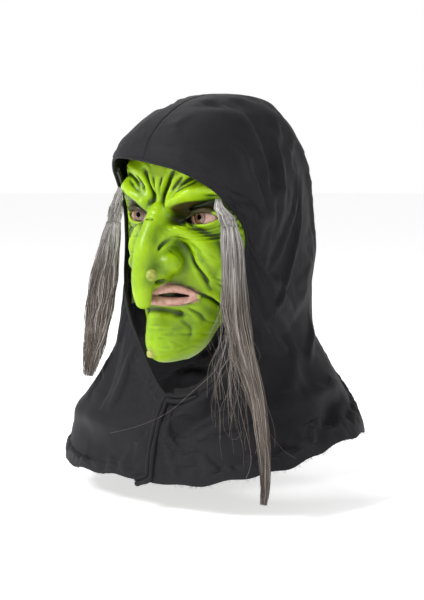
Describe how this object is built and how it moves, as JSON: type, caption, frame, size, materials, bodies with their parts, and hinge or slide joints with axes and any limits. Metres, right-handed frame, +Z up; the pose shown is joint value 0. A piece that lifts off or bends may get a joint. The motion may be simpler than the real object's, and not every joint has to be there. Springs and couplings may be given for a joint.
{
  "type": "halloween mask",
  "caption": "Moulded latex witch face with a hooked nose, sewn into a black cloth hood and bib, with grey hair locks at the temples and an inner head strap.",
  "frame": {"origin": "middle of the wearer's head at eye level, where the head holds the mask", "axes": "+Z up, the face looks along -Y, +X is the wearer's left"},
  "size_m": [0.2945, 0.2301, 0.3584],
  "materials": {
    "latex": "moulded latex, semi-gloss, dark wash in the creases",
    "eye": "glossy painted dome",
    "cloth": "fine black knit with a slight sheen",
    "tape": "woven tape",
    "hair": "grey synthetic fibre",
    "thread": "sewing thread",
    "latex_pad": "matt latex pad",
    "elastic": "woven elastic",
    "slider": "moulded",
    "rivet": "plated"
  },
  "bodies": {
    "mask": {"face_shell": "latex", "left_eye_dome": "eye", "right_eye_dome": "eye", "left_face_bond": "tape", "right_face_bond": "tape", "hood_left_panel": "cloth", "hood_right_panel": "cloth", "crown_seam_tape": "tape", "brim_hem": "cloth", "front_left_hem": "cloth", "front_right_hem": "cloth", "left_hair_weft": "hair", "right_hair_weft": "hair", "left_weft_stitches": "thread", "right_weft_stitches": "thread", "left_strap_pad": "latex_pad", "right_strap_pad": "latex_pad", "elastic_strap": "elastic", "left_strap_rivets": "rivet", "right_strap_rivets": "rivet"},
    "left_root": {"left_hair_root": "hair"},
    "left_lock": {"left_hair_lock": "hair"},
    "right_root": {"right_hair_root": "hair"},
    "right_lock": {"right_hair_lock": "hair"},
    "slider": {"strap_slider": "slider"}
  },
  "joints": [
    {"name": "left_weft_swing", "type": "hinge", "parent": "mask", "child": "left_root", "pos_m": [0.058, -0.078, 0.0165], "axis": [0, -1, 0], "range_deg": [0, 35]},
    {"name": "left_lock_lift", "type": "hinge", "parent": "left_root", "child": "left_lock", "pos_m": [0.0726, -0.0812, -0.0078], "axis": [-1, 0, 0], "range_deg": [0, 45]},
    {"name": "right_weft_swing", "type": "hinge", "parent": "mask", "child": "right_root", "pos_m": [-0.063, -0.0705, 0.024], "axis": [0, 1, 0], "range_deg": [0, 35]},
    {"name": "right_lock_lift", "type": "hinge", "parent": "right_root", "child": "right_lock", "pos_m": [-0.0663, -0.0764, -0.0084], "axis": [-1, 0, 0], "range_deg": [0, 45]},
    {"name": "strap_adjust", "type": "slide", "parent": "mask", "child": "slider", "axis": [1, 0, 0], "range_m": [-0.015, 0.015]}
  ]
}
